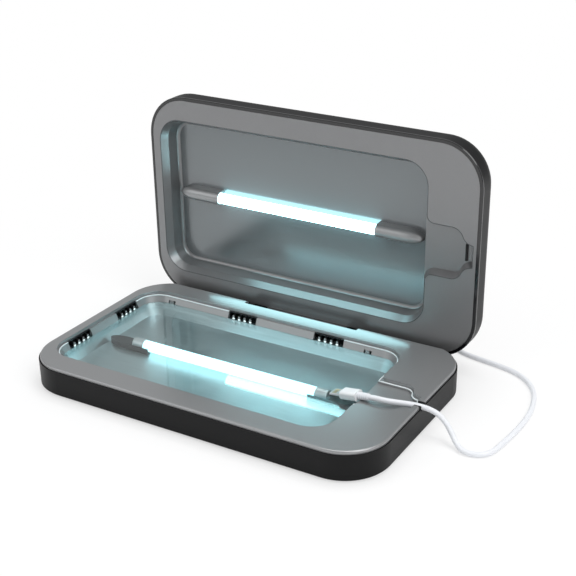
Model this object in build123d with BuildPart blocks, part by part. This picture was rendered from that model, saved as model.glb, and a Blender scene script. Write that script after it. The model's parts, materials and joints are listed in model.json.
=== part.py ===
from build123d import *
import math
import os

# A sanitizing box for phones: a hinged clamshell with an ultraviolet lamp in its base and one
# in its lid. A charging cord runs from a socket in the rear wall, round the right side and
# through a sealed notch into the tray, where its plug waits for the phone.
#
# Millimetres. +X is to the right, +Y to the back and +Z up, and the origin is on the table
# under the middle of the base. The lid stands open at a right angle. Every lid piece is drawn
# on LID, whose x and y are the base's own when the lid is shut, and whose normal runs from the
# parting face into the lid.

# ------------------------------------------------------------------ casing
LENGTH = 220.0
DEPTH = 130.0
CORNER_R = 26.0          # corners of the casing, seen from above
WALL = 2.0               # side walls of both shells
FLOOR = 1.6              # floor of the base shell
FOOT_DROP = 0.8          # the feet stand this far below the shell
SHELL_RISE = 15.1
SHELL_EDGE = 0.9         # chamfer round the foot of the shell
DECK_T = 2.0             # deck plate, standing on the shell's wall
DECK_INSET = 0.8
DECK_EDGE_R = 1.0
LIP_T = 1.4              # locating lip below the deck plate
LIP_DROP = 2.4
FIT = 0.15               # clearance between mouldings that locate in each other
LID_T = 18.9
LID_BACK_R = 10.0
LID_GAP = 0.3            # left between deck and lid when the box is shut

# ------------------------------------------------------------------ tray and lid recess
MARGIN_LEFT = 7.15       # casing to the tray's opening, on each side
MARGIN_RIGHT = 32.35
MARGIN_FRONT = 14.7
MARGIN_BACK = 16.1
TRAY_CORNER_R = 14.5
LEDGE_DROP = 2.1         # vertical step at the tray's mouth
LEDGE_W = 1.1
LEAN = 24.0              # degrees that the tray's wall leans
TRAY_DEPTH = 6.1         # deck to glass plate
TRAY_WALL = 2.0
TONGUE_HALF = 15.5       # half width of the cable tongue beside the tray
TONGUE_DEPTH = 3.5
TONGUE_WALL = 1.4
MOUTH_R = 4.5            # corners where the tongue leaves the tray
NECK_HALF = 6.6
NECK_RUN = 13.0          # the tongue narrows over this length
NECK_MARGIN = 4.0        # casing to the end of the tongue
OUTLET_Y = -1.0          # cable channel through the rim
OUTLET_W = 5.5
OUTLET_FLOOR = 3.7       # below the deck
SEAL_T = 0.6
SEAL_BLADE_T = 1.2       # blade in the lid that closes over the cord
SEAL_BLADE_W = 10.0
SEAL_SETBACK = 5.5
SEAL_STAND = 1.0
SEAL_BITE = 1.0
RIM_DEPTH = 5.0          # bevelled mouth of the recess, and depth of the tongue beside it
RIM_LEAN = 26.0
RECESS_DEPTH = 13.5
RECESS_LEAN = 8.0        # degrees that the recess wall leans below its bevel
RECESS_COVE_R = 2.0
PANEL_T = 2.0
PANEL_FLOOR = 1.4
PANEL_WALL = 1.6
TRIM_W = 2.0             # black trim round the lid's parting face
TRIM_T = 1.0
TRIM_EDGE = 0.35         # chamfer round the trim
PANEL_GAP = 0.1
SHEET_T = 0.4            # reflector sheet on the recess floor

# ------------------------------------------------------------------ glass, reflector and lamps
PLATE_T = 1.2
PLATE_LAP = 3.0          # plate held under the foot of the tray wall
REFLECTOR_T = 0.9
REFLECTOR_LIP = 1.5
LAMP_R = 3.2
LAMP_SHIFT_X = 0.8       # lamp centre from the tray's centre
LAMP_SHIFT_Y = -0.8
LAMP_TUCK = 10.0         # length of glass hidden in each holder
LAMP_END_CHAMFER = 1.4
LAMP_FLOAT = 0.35        # base lamp above the reflector
LID_LAMP_DEPTH = 9.5
CAP_T = 0.3
CAP_FIT = 0.05
CAP_LAP = 6.0
CAP_END = 1.5
HOLDER_LENGTH = 29.6
HOLDER_NOSE = 11.0       # rounded end of a holder
HOLDER_WALL = 0.55
HOLDER_END_GAP = 2.7

# ------------------------------------------------------------------ vents and clips in the tray wall
VENT_LENGTH = 20.0
BACK_VENT_X = (-20.6, 39.5)      # from the tray's centre
SIDE_VENT_Y = (-22.5, 22.0)
VENT_T = 1.0
VENT_FRAME = 0.6
VENT_RIBS = 4
RIB_W = 1.1
RIB_RISE = 2.8
RIB_REACH = 1.5
CLIP_X = (-72.7, 65.6)           # from the tray's centre
CLIP_W = 2.6
CLIP_SLOT_W = 5.0
CLIP_RISE = 1.8
CLIP_T = 1.0

# ------------------------------------------------------------------ hinge
HINGE_SETBACK = 3.2      # axis in front of the rear wall's face
HINGE_DROP = 5.4         # axis below the deck
BARREL_R = 2.9
BARREL_HALF = 28.0
EAR_GAP = 0.4
EAR_W = 10.1
PIN_R = 1.2
PIN_FIT = 0.02           # pin in the ears
BARREL_FIT = 0.06        # pin in the barrel
ARM_T = 2.2
ARM_REACH = 8.6          # into the lid
ARM_SCREW_DEPTH = 5.2
ARM_SCREW_PITCH = 20.0
NOTCH_GAP = 0.5          # round the hinge
NOTCH_FRONT = 3.2        # in front of the axis
NOTCH_DROP = 3.3         # rear wall's cut edge below the axis
ROLL_R = 3.4             # rolled rear edge of the deck
ROLL_AHEAD = 1.0         # roll centre in front of the hinge axis
BRACKET_T = 1.6
BRACKET_SEAT = 2.0       # bosses under the bracket
BRACKET_DEPTH = 10.8
BRACKET_BOSS_R = 3.0
BRACKET_SCREW_X = 24.0
BRACKET_SCREW_SETBACK = 4.0
ARM_SCREW_BITE = 1.6     # of the arm's screws in the lid's rear wall

# ------------------------------------------------------------------ screws, feet and posts
SCREW_R = 1.25
SCREW_HEAD_R = 2.7
SCREW_HEAD_T = 1.6
SCREW_LENGTH = 10.2
SMALL_SCREW_R = 1.0
SMALL_HEAD_R = 2.0
SMALL_HEAD_T = 1.2
HEAD_TAPER = 12.0
SCREW_SLACK = 0.05       # round a driven screw
BORE_SLACK = 0.35        # round a screw that passes through
BOSS_R = 4.2
BOSS_RISE = 6.6          # above the shell's floor
COUNTERBORE = 3.0
POST_R = 2.8
LID_POST_R = 3.5
POST_LEFT = 10.8         # posts in from the casing's sides
POST_RIGHT = 17.0
POST_FRONT = 13.4
POST_BACK = 14.5
FOOT_R = 6.0
FOOT_RECESS = 0.6
FOOT_SIDE = 32.0         # feet in from the casing's sides
FOOT_END = 20.0

# ------------------------------------------------------------------ electronics
BOARD_T = 1.2
BOARD_SEAT = 2.6         # standoffs above the shell's floor
BOARD_DEPTH = 14.1
BOARD_GAP = 0.4          # to the rear wall
BOARD_HINGE_GAP = 4.0    # to the hinge notch
STANDOFF_R = 1.8
STANDOFF_INSET = 3.0
PORT_RECESS = 0.5        # sockets behind the rear wall's face
USB_A_IN = 12.0          # sockets in from the hinge end of their board
USB_A_RISE = 3.2         # socket's centre above the shell's floor
USB_A_W = 13.1
USB_A_H = 5.7
USB_A_LENGTH = 13.0
PLUG_SHELL_W = 12.0
PLUG_SHELL_H = 4.5
PLUG_SHELL_LENGTH = 11.0
SHEET_METAL = 0.3
SOCKET_FIT = 0.15
CONTACT_W = 10.0         # contact carriers inside the sockets
CONTACT_H = 1.3
CONTACT_RISE = 1.0
CONTACT_SETBACK = 1.5
CORE_H = 1.8
BLADE_W = 6.0
BLADE_H = 0.7
MAIN_CHIPS = (           # x from the board's hinge end, y from its front, width, depth and height
    (24.0, 4.5, 7.0, 4.0, 1.2),
    (2.6, 8.0, 3.0, 3.0, 2.5),
)
USB_C_IN = 25.2
USB_C_W = 9.0
USB_C_H = 3.2
USB_C_LENGTH = 7.4
INLET_OUT = 7.0          # inlet in from the outer end of its board
INLET_W = 9.0
INLET_H = 8.0
INLET_LENGTH = 11.0
INLET_NOSE_R = 3.0
INLET_BORE_R = 2.6
INLET_PIN_R = 0.6
OPENING_SLACK = 0.25     # rear wall's openings round the sockets
TRANSFORMER_IN = 11.0
TRANSFORMER_SIZE = (13.0, 9.0, 7.5)
BOBBIN_FLANGE = 1.2
SENSOR_END = 50.0        # lid sensor in from the right end and the front
SENSOR_FRONT = 8.0
REED_SIZE = (16.0, 4.0, 3.0)
MAGNET_R = 3.0
MAGNET_T = 2.5
LIGHT_R = 2.5
LIGHT_FRONT = 20.0
LIGHT_FLANGE_R = 3.5
LIGHT_FLANGE_T = 1.0

# ------------------------------------------------------------------ cord and its plugs
CORD_R = 1.5
FILLET_SHARE = 0.45      # of the shorter run beside a bend
PLUG_START = (64.6, -5.3, 14.35)
PLUG_HEADING = (11.0, -1.1, 1.95)
PLUG_W = 7.6
PLUG_H = 4.8
PLUG_LENGTH = 10.4
PLUG_EDGE_R = 1.6
TIP_W = 6.6
TIP_H = 1.5
TIP_LENGTH = 6.6
TIP_EDGE_R = 0.7
BOOT_R = 2.0
BOOT_END_R = 1.8
BOOT_LENGTH = 7.0
CORD_LEAD = 4.0          # straight stretch of cord beyond each boot
USB_BODY_W = 15.0
USB_BODY_H = 6.4
USB_BODY_LENGTH = 22.0
USB_BODY_R = 2.2
CORD_ROUTE = (
    (91.0, -6.9, 17.9), (96.3, -4.8, 17.3), (101.3, -2.6, 16.8), (106.0, -1.3, 16.45),
    (112.0, -1.0, 16.4), (117.9, -0.7, 15.0), (123.0, -1.2, 11.7), (127.1, -2.9, 7.8),
    (130.6, -5.4, 4.5), (134.9, -8.4, 2.2), (140.4, -9.2, 1.5), (145.9, -7.3, 1.5),
    (149.7, -2.9, 1.5), (151.2, 4.5, 1.5), (152.3, 14.5, 1.5), (153.6, 27.0, 1.5),
    (153.5, 42.8, 1.5), (151.1, 57.0, 1.5), (146.5, 69.3, 1.5), (138.9, 78.7, 1.5),
    (129.8, 84.5, 1.5), (118.8, 87.4, 1.5), (107.8, 89.3, 1.5), (98.4, 90.9, 1.5),
    (90.3, 93.6, 1.5), (83.6, 99.4, 1.5), (77.6, 105.6, 1.5), (71.7, 109.8, 1.9),
    (66.3, 110.8, 2.6), (61.2, 109.3, 3.7), (57.2, 105.5, 4.9),
)

# ------------------------------------------------------------------ levels and places
FLOOR_Z = FOOT_DROP + FLOOR
PART_Z = FOOT_DROP + SHELL_RISE
DECK_Z = PART_Z + DECK_T
LEDGE_Z = DECK_Z - LEDGE_DROP
PLATE_Z = DECK_Z - TRAY_DEPTH
FLANGE_Z = PLATE_Z - PLATE_T
TONGUE_Z = DECK_Z - TONGUE_DEPTH
OUTLET_Z = DECK_Z - OUTLET_FLOOR
BOSS_Z = FLOOR_Z + BOSS_RISE
BOARD_Z = FLOOR_Z + BOARD_SEAT
BOARD_TOP_Z = BOARD_Z + BOARD_T
USB_A_Z = FLOOR_Z + USB_A_RISE
REAR_Y = DEPTH / 2
REAR_INNER_Y = REAR_Y - WALL
BOARD_BACK_Y = REAR_INNER_Y - BOARD_GAP
BOARD_FRONT_Y = BOARD_BACK_Y - BOARD_DEPTH
SOCKET_Y = REAR_Y - PORT_RECESS
TRAY_LENGTH = LENGTH - MARGIN_LEFT - MARGIN_RIGHT
TRAY_WIDTH = DEPTH - MARGIN_FRONT - MARGIN_BACK
TRAY_X = (MARGIN_LEFT - MARGIN_RIGHT) / 2
TRAY_Y = (MARGIN_FRONT - MARGIN_BACK) / 2
LEFT_POST_X = POST_LEFT - LENGTH / 2
RIGHT_POST_X = LENGTH / 2 - POST_RIGHT
FRONT_POST_Y = POST_FRONT - DEPTH / 2
BACK_POST_Y = DEPTH / 2 - POST_BACK
POST_PLACES = [(x, y) for x in (LEFT_POST_X, RIGHT_POST_X) for y in (FRONT_POST_Y, BACK_POST_Y)]
FOOT_PLACES = [
    (side * (LENGTH / 2 - FOOT_SIDE), end * (DEPTH / 2 - FOOT_END)) for side in (-1, 1) for end in (-1, 1)
]
SENSOR_X = LENGTH / 2 - SENSOR_END
SENSOR_Y = SENSOR_FRONT - DEPTH / 2
LIGHT_Y = LIGHT_FRONT - DEPTH / 2
SLOPE = math.tan(math.radians(LEAN))
FOOT_INSET = LEDGE_W + (LEDGE_Z - PLATE_Z) * SLOPE
PLATE_INSET = FOOT_INSET - PLATE_LAP
RIM_INSET = RIM_DEPTH * math.tan(math.radians(RIM_LEAN))
RECESS_INSET = RIM_INSET + (RECESS_DEPTH - RIM_DEPTH) * math.tan(math.radians(RECESS_LEAN))
PAN_LEAN = math.degrees(math.atan(RECESS_INSET / RECESS_DEPTH))
NECK_X = LENGTH / 2 - NECK_MARGIN - TRAY_X
LAMP_VISIBLE = TRAY_LENGTH - 2 * (RECESS_INSET + HOLDER_LENGTH + HOLDER_END_GAP)
LAMP_X = TRAY_X + LAMP_SHIFT_X
LAMP_Y = TRAY_Y + LAMP_SHIFT_Y
BASE_LAMP_Z = FLOOR_Z + REFLECTOR_T + LAMP_FLOAT + LAMP_R
SHEET_DEPTH = RECESS_DEPTH - SHEET_T
CAP_R = LAMP_R + CAP_FIT + CAP_T
HOLDER_BORE_R = CAP_R + CAP_FIT
HOLDER_R = HOLDER_BORE_R + HOLDER_WALL
HOLDER_BORE = LAMP_TUCK + CAP_END + CAP_FIT
AXIS_Y = REAR_Y - HINGE_SETBACK
AXIS_Z = DECK_Z - HINGE_DROP
EAR_INNER = BARREL_HALF + EAR_GAP
EAR_OUTER = EAR_INNER + EAR_W
NOTCH_HALF = EAR_OUTER + NOTCH_GAP
ROLL_Y = AXIS_Y - ROLL_AHEAD
ROLL_Z = DECK_Z - ROLL_R
MAIN_BOARD_X = (NOTCH_HALF + BOARD_HINGE_GAP, LENGTH / 2 - CORNER_R)
POWER_BOARD_X = (CORNER_R - LENGTH / 2, -NOTCH_HALF - BOARD_HINGE_GAP)
USB_A_X = MAIN_BOARD_X[0] + USB_A_IN
USB_C_X = MAIN_BOARD_X[0] + USB_C_IN
INLET_X = POWER_BOARD_X[0] + INLET_OUT
TRANSFORMER_X = POWER_BOARD_X[1] - TRANSFORMER_IN
BRACKET_Z = FLOOR_Z + BRACKET_SEAT
BRACKET_BACK_Y = REAR_INNER_Y - FIT
BRACKET_FRONT_Y = BRACKET_BACK_Y - BRACKET_DEPTH
BRACKET_POSTS = [(side * BRACKET_SCREW_X, BRACKET_FRONT_Y + BRACKET_SCREW_SETBACK) for side in (-1, 1)]
BOARD_POSTS = [
    (x, y)
    for x0, x1 in (MAIN_BOARD_X, POWER_BOARD_X)
    for x, y in (
        (x0 + STANDOFF_INSET, BOARD_FRONT_Y + STANDOFF_INSET),
        (x1 - STANDOFF_INSET, BOARD_BACK_Y - STANDOFF_INSET),
    )
]
ARM_OUTER_Y = REAR_INNER_Y
LID = Plane(
    origin=(0, AXIS_Y + HINGE_DROP + LID_GAP, AXIS_Z + AXIS_Y),
    x_dir=(1, 0, 0),
    z_dir=(0, 1, 0),
)
BASE_SEAT = Plane((LAMP_X, LAMP_Y, FLOOR_Z + REFLECTOR_T))
LID_SEAT = Plane(
    origin=LID.from_local_coords((LAMP_X, LAMP_Y, SHEET_DEPTH)),
    x_dir=(1, 0, 0),
    z_dir=(0, -1, 0),
)


BACK_VENTS = [
    Plane(
        (TRAY_X + x, TRAY_Y + TRAY_WIDTH / 2 - FOOT_INSET + TRAY_WALL, PLATE_Z),
        x_dir=(-1, 0, 0),
        z_dir=(0, 1, 0),
    )
    for x in BACK_VENT_X
]
SIDE_VENTS = [
    Plane(
        (TRAY_X - TRAY_LENGTH / 2 + FOOT_INSET - TRAY_WALL, TRAY_Y + y, PLATE_Z),
        x_dir=(0, -1, 0),
        z_dir=(-1, 0, 0),
    )
    for y in SIDE_VENT_Y
]


def level(height):
    """Horizontal plane at a height, centred on the tray."""
    return Plane((TRAY_X, TRAY_Y, height))


def lid_level(depth):
    """Plane parallel to the lid's parting face, centred on the recess."""
    return Plane(
        origin=LID.from_local_coords((TRAY_X, TRAY_Y, depth)),
        x_dir=LID.x_dir,
        z_dir=LID.z_dir,
    )


def casing_plan(inset=0.0, mode=Mode.ADD):
    """Outline of the casing, seen from above."""
    RectangleRounded(LENGTH - 2 * inset, DEPTH - 2 * inset, CORNER_R - inset, mode=mode)


def tray_plan(inset=0.0):
    """Outline of the tray at an inset from its mouth."""
    RectangleRounded(TRAY_LENGTH - 2 * inset, TRAY_WIDTH - 2 * inset, TRAY_CORNER_R - inset)


def tongue(plane, inset=0.0):
    """Cable tongue: straight sides that narrow to a neck through two arcs."""
    half = TONGUE_HALF - inset
    neck = NECK_HALF - inset
    end = NECK_X - inset
    bend = NECK_X - NECK_RUN
    with BuildSketch(plane) as outline:
        with BuildLine():
            side = Line((TRAY_LENGTH / 2 - TRAY_CORNER_R, half), (bend, half))
            middle = ((bend + end) / 2, (half + neck) / 2)
            shoulder = TangentArc(side @ 1, middle, tangent=side % 1)
            throat = TangentArc(shoulder @ 1, (end, neck), tangent=shoulder % 1)
            Line(throat @ 1, (end, 0))
            mirror(about=Plane.XZ)
            Line(side @ 0, (TRAY_LENGTH / 2 - TRAY_CORNER_R, -half))
        make_face()
    return outline.sketch


def mouth(plane):
    """Tray opening and tongue as one outline, with rounded corners between them."""
    with BuildSketch(plane) as outline:
        tray_plan()
        add(tongue(Plane.XY))
        corners = outline.vertices().filter_by_position(
            Axis.X, TRAY_LENGTH / 2 - FIT, TRAY_LENGTH / 2 + FIT
        )
        fillet(
            corners.filter_by_position(Axis.Y, -TONGUE_HALF - FIT, TONGUE_HALF + FIT),
            radius=MOUTH_R,
        )
    return outline.sketch


def two_ways(seat):
    """A seat's plane, and the same plane turned to face the other way along the lamp."""
    return [Plane(seat.origin, x_dir=seat.x_dir * way, z_dir=seat.z_dir) for way in (1, -1)]


def lamp_glass(seat, height):
    """Sealed glass tube of a lamp, narrowed at its ends."""
    with BuildPart() as glass:
        with BuildSketch(Plane(seat.from_local_coords((0, 0, height)), z_dir=(1, 0, 0))):
            Circle(LAMP_R)
        extrude(amount=LAMP_VISIBLE / 2 + LAMP_TUCK, both=True)
        chamfer(glass.edges().filter_by(GeomType.CIRCLE), length=LAMP_END_CHAMFER)
    return glass


def lamp_caps(seat, height):
    """Metal caps on a lamp's two ends."""
    with BuildPart() as caps:
        for half in two_ways(seat):
            end = half.from_local_coords((LAMP_VISIBLE / 2 + LAMP_TUCK - CAP_LAP, 0, height))
            rim = Plane(end, z_dir=half.x_dir)
            with BuildSketch(rim):
                Circle(CAP_R)
            extrude(amount=CAP_LAP + CAP_END)
            with BuildSketch(rim):
                Circle(LAMP_R + CAP_FIT)
            extrude(amount=CAP_LAP, mode=Mode.SUBTRACT)
    return caps


def lamp_holders(seat, height, domed):
    """Bullet-shaped holders that carry a lamp's ends, open above the lamp or domed over it."""
    start = LAMP_VISIBLE / 2
    nose = start + HOLDER_LENGTH - HOLDER_NOSE
    with BuildPart() as holders:
        for half in two_ways(seat):
            axis_level = half.offset(height)
            with BuildSketch(half):
                with BuildLine():
                    side = Line((start, HOLDER_R), (nose, HOLDER_R))
                    EllipticalCenterArc((nose, 0), HOLDER_NOSE, HOLDER_R, arc_size=90)
                    mirror(about=Plane.XZ)
                    Line(side @ 0, (start, -HOLDER_R))
                make_face()
            extrude(amount=height)
            if domed:
                with BuildSketch(axis_level):
                    with BuildLine():
                        side = Line((start, HOLDER_R), (nose, HOLDER_R))
                        EllipticalCenterArc((nose, 0), HOLDER_NOSE, HOLDER_R, arc_size=90)
                        Polyline((nose + HOLDER_NOSE, 0), (start, 0), side @ 0)
                    make_face()
                revolve(axis=Axis(axis_level.origin, axis_level.x_dir), revolution_arc=180)
            bore = Plane(axis_level.from_local_coords((start, 0, 0)), z_dir=half.x_dir)
            with BuildSketch(bore):
                Circle(HOLDER_BORE_R)
            extrude(amount=HOLDER_BORE, mode=Mode.SUBTRACT)
    return holders


def vent_grilles(planes):
    """Grilles standing in slots of the tray wall: a framed slot with upright ribs before it.

    Each plane's x runs along the wall, its y up from the glass plate and its normal outwards.
    """
    height = PART_Z - PLATE_Z
    pitch = VENT_LENGTH / (VENT_RIBS + 1)
    window = pitch - RIB_W
    with BuildPart() as grilles:
        for plane in planes:
            with BuildSketch(plane):
                with Locations((0, height / 2)):
                    Rectangle(VENT_LENGTH - 2 * PANEL_GAP, height)
                    with GridLocations(pitch, 0, VENT_RIBS + 1, 1):
                        Rectangle(window, height - 2 * VENT_FRAME, mode=Mode.SUBTRACT)
            extrude(amount=VENT_T)
            with BuildSketch(plane):
                with Locations((0, RIB_RISE / 2)):
                    with GridLocations(pitch, 0, VENT_RIBS, 1):
                        Rectangle(RIB_W, RIB_RISE)
            extrude(amount=-RIB_REACH)
    return grilles


def small_screws(planes, shank):
    """Pan-head screws whose shanks run along each plane's normal."""
    with BuildPart() as screws:
        for plane in planes:
            with BuildSketch(plane):
                Circle(SMALL_SCREW_R)
            extrude(amount=shank)
            with BuildSketch(plane):
                Circle(SMALL_HEAD_R)
            extrude(amount=-SMALL_HEAD_T, taper=HEAD_TAPER)
    return screws


# ------------------------------------------------------------------ base shell
with BuildPart() as base_shell:
    with BuildSketch(Plane.XY.offset(FOOT_DROP)):
        casing_plan()
    extrude(amount=SHELL_RISE)
    chamfer(base_shell.faces().sort_by(Axis.Z)[0].edges(), length=SHELL_EDGE)
    with BuildSketch(Plane.XY.offset(FLOOR_Z)):
        casing_plan(WALL)
    extrude(amount=PART_Z - FLOOR_Z, mode=Mode.SUBTRACT)
    # Bosses for the case screws, the hinge bracket and the boards
    with BuildSketch(Plane.XY.offset(FLOOR_Z)):
        with Locations(POST_PLACES):
            Circle(BOSS_R)
    extrude(amount=BOSS_RISE)
    with BuildSketch(Plane.XY.offset(FLOOR_Z)):
        with Locations(BRACKET_POSTS):
            Circle(BRACKET_BOSS_R)
    extrude(amount=BRACKET_SEAT)
    with BuildSketch(Plane.XY.offset(FLOOR_Z)):
        with Locations(BOARD_POSTS):
            Circle(STANDOFF_R)
    extrude(amount=BOARD_SEAT)
    with BuildSketch(Plane.XY.offset(FOOT_DROP)):
        with Locations(POST_PLACES):
            Circle(SCREW_HEAD_R + BORE_SLACK)
    extrude(amount=COUNTERBORE, mode=Mode.SUBTRACT)
    with BuildSketch(Plane.XY.offset(FOOT_DROP + COUNTERBORE)):
        with Locations(POST_PLACES):
            Circle(SCREW_R + BORE_SLACK)
    extrude(amount=BOSS_Z - FOOT_DROP - COUNTERBORE, mode=Mode.SUBTRACT)
    with BuildSketch(Plane.XY.offset(BRACKET_Z)):
        with Locations(BRACKET_POSTS):
            Circle(SMALL_SCREW_R + SCREW_SLACK)
    extrude(amount=-BRACKET_SEAT, mode=Mode.SUBTRACT)
    # Recesses for the rubber feet
    with BuildSketch(Plane.XY.offset(FOOT_DROP)):
        with Locations(FOOT_PLACES):
            Circle(FOOT_R)
    extrude(amount=FOOT_RECESS, mode=Mode.SUBTRACT)
    # Rear wall cut down behind the hinge
    with BuildSketch(Plane.XZ.offset(-REAR_INNER_Y)):
        with Locations((0, AXIS_Z - NOTCH_DROP)):
            Rectangle(2 * NOTCH_HALF, SHELL_RISE, align=(Align.CENTER, Align.MIN))
    extrude(amount=-2 * WALL, mode=Mode.SUBTRACT)
    # Openings for the sockets
    with BuildSketch(Plane.XZ.offset(-REAR_INNER_Y)):
        with Locations((USB_A_X, USB_A_Z)):
            Rectangle(USB_A_W + 2 * OPENING_SLACK, USB_A_H + 2 * OPENING_SLACK)
        with Locations((USB_C_X, BOARD_TOP_Z + USB_C_H / 2)):
            SlotOverall(USB_C_W + 2 * OPENING_SLACK, USB_C_H + 2 * OPENING_SLACK)
        with Locations((INLET_X, BOARD_TOP_Z + INLET_H / 2)):
            Circle(INLET_NOSE_R + OPENING_SLACK)
    extrude(amount=-WALL, mode=Mode.SUBTRACT)
    # Cable channel through the right wall
    with BuildSketch(Plane.YZ.offset(LENGTH / 2 - WALL)):
        with Locations((OUTLET_Y, OUTLET_Z)):
            Rectangle(OUTLET_W, DECK_T + OUTLET_FLOOR, align=(Align.CENTER, Align.MIN))
    extrude(amount=WALL, mode=Mode.SUBTRACT)
base_shell.part.label = "base_shell"

# ------------------------------------------------------------------ deck with its tray and tongue
with BuildPart() as base_deck:
    with BuildSketch(Plane.XY.offset(PART_Z)):
        casing_plan(DECK_INSET)
    extrude(amount=DECK_T)
    fillet(base_deck.faces().sort_by(Axis.Z)[-1].edges(), radius=DECK_EDGE_R)
    # Rear edge rolled over so that the lid turns clear of it
    with BuildSketch(Plane.YZ):
        with Locations((ROLL_Y, PART_Z)):
            Rectangle(HINGE_SETBACK + ROLL_AHEAD, DECK_T, align=(Align.MIN, Align.MIN))
        with Locations((ROLL_Y, ROLL_Z)):
            Circle(ROLL_R, mode=Mode.SUBTRACT)
    extrude(amount=LENGTH / 2, both=True, mode=Mode.SUBTRACT)
    # Lip that locates the deck inside the shell
    with BuildSketch(Plane.XY.offset(PART_Z)):
        casing_plan(WALL + FIT)
        casing_plan(WALL + FIT + LIP_T, mode=Mode.SUBTRACT)
    extrude(amount=-LIP_DROP)
    # Tray wall and the pan under the tongue
    with BuildSketch(level(PART_Z)):
        tray_plan(LEDGE_W - TRAY_WALL)
    extrude(amount=PLATE_Z - PART_Z, taper=LEAN)
    extrude(tongue(level(PART_Z), -TONGUE_WALL), amount=TONGUE_Z - TONGUE_WALL - PART_Z)
    extrude(mouth(level(DECK_Z)), amount=-LEDGE_DROP, mode=Mode.SUBTRACT)
    with BuildSketch(level(LEDGE_Z)):
        tray_plan(LEDGE_W)
    extrude(amount=PLATE_Z - LEDGE_Z, taper=LEAN, mode=Mode.SUBTRACT)
    extrude(tongue(level(LEDGE_Z), LEDGE_W), amount=TONGUE_Z - LEDGE_Z, mode=Mode.SUBTRACT)
    # Slots for the vents and for the clips that hold the glass plate
    for plane in BACK_VENTS + SIDE_VENTS:
        with BuildSketch(plane):
            Rectangle(VENT_LENGTH, PART_Z - PLATE_Z, align=(Align.CENTER, Align.MIN))
        extrude(amount=2 * TRAY_WALL, both=True, mode=Mode.SUBTRACT)
    with BuildSketch(level(PLATE_Z)):
        with Locations([(x, 0) for x in CLIP_X]):
            Rectangle(CLIP_SLOT_W, TRAY_WIDTH)
    extrude(amount=CLIP_RISE, mode=Mode.SUBTRACT)
    # Cable channel through the rim
    with BuildSketch(Plane.YZ.offset(LENGTH / 2)):
        with Locations((OUTLET_Y, OUTLET_Z)):
            Rectangle(OUTLET_W, DECK_T + OUTLET_FLOOR, align=(Align.CENTER, Align.MIN))
    extrude(amount=-NECK_MARGIN - TONGUE_WALL, mode=Mode.SUBTRACT)
    # Notch for the hinge
    with BuildSketch(Plane.XY.offset(DECK_Z)):
        with Locations((0, AXIS_Y - NOTCH_FRONT)):
            Rectangle(2 * NOTCH_HALF, DEPTH, align=(Align.CENTER, Align.MIN))
    extrude(amount=-DECK_T - LIP_DROP, mode=Mode.SUBTRACT)
    # Posts that take the case screws
    with BuildSketch(Plane.XY.offset(BOSS_Z)):
        with Locations(POST_PLACES):
            Circle(POST_R)
            Circle(SCREW_R + SCREW_SLACK, mode=Mode.SUBTRACT)
    extrude(amount=PART_Z - BOSS_Z)
base_deck.part.label = "base_deck"

# ------------------------------------------------------------------ reflector, glass plate and clips
with BuildPart() as base_reflector:
    with BuildSketch(level(FLANGE_Z)):
        tray_plan(PLATE_INSET)
    extrude(amount=-REFLECTOR_T)
    with BuildSketch(level(FLANGE_Z)):
        tray_plan(PLATE_INSET + REFLECTOR_LIP)
    extrude(amount=FLOOR_Z - FLANGE_Z, taper=LEAN)
    with BuildSketch(level(FLANGE_Z)):
        tray_plan(PLATE_INSET + REFLECTOR_LIP + REFLECTOR_T)
    extrude(amount=FLOOR_Z + REFLECTOR_T - FLANGE_Z, taper=LEAN, mode=Mode.SUBTRACT)
base_reflector.part.label = "base_reflector"

with BuildPart() as clear_plate:
    with BuildSketch(level(FLANGE_Z)):
        tray_plan(PLATE_INSET)
    extrude(amount=PLATE_T)
clear_plate.part.label = "clear_plate"

clip_y = TRAY_WIDTH / 2 - FOOT_INSET
with BuildPart() as plate_clips:
    for side in (-1, 1):
        with BuildSketch(level(PLATE_Z)):
            with Locations([(x, side * (clip_y + CLIP_T / 2)) for x in CLIP_X]):
                Rectangle(CLIP_W, CLIP_T)
        extrude(amount=CLIP_RISE)
plate_clips.part.label = "plate_clips"

back_vents = vent_grilles(BACK_VENTS)
back_vents.part.label = "back_vents"

side_vents = vent_grilles(SIDE_VENTS)
side_vents.part.label = "side_vents"

# ------------------------------------------------------------------ base lamp
base_lamp_height = LAMP_FLOAT + LAMP_R
base_lamp = lamp_glass(BASE_SEAT, base_lamp_height)
base_lamp.part.label = "base_lamp"

base_lamp_caps = lamp_caps(BASE_SEAT, base_lamp_height)
base_lamp_caps.part.label = "base_lamp_caps"

base_lamp_holders = lamp_holders(BASE_SEAT, base_lamp_height, domed=False)
base_lamp_holders.part.label = "base_lamp_holders"

# ------------------------------------------------------------------ boards and sockets
with BuildPart() as main_board:
    with BuildSketch(Plane.XY.offset(BOARD_Z)):
        with Locations((MAIN_BOARD_X[0], BOARD_FRONT_Y)):
            Rectangle(
                MAIN_BOARD_X[1] - MAIN_BOARD_X[0],
                BOARD_BACK_Y - BOARD_FRONT_Y,
                align=(Align.MIN, Align.MIN),
            )
        # Cut-out that the charging socket stands in
        with Locations((USB_A_X, SOCKET_Y - USB_A_LENGTH - OPENING_SLACK)):
            Rectangle(
                USB_A_W + 2 * OPENING_SLACK,
                USB_A_LENGTH,
                align=(Align.CENTER, Align.MIN),
                mode=Mode.SUBTRACT,
            )
    extrude(amount=BOARD_T)
    for x, y, width, depth, height in MAIN_CHIPS:
        with BuildSketch(Plane.XY.offset(BOARD_TOP_Z)):
            with Locations((MAIN_BOARD_X[0] + x, BOARD_FRONT_Y + y)):
                Rectangle(width, depth)
        extrude(amount=height)
main_board.part.label = "main_board"

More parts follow.
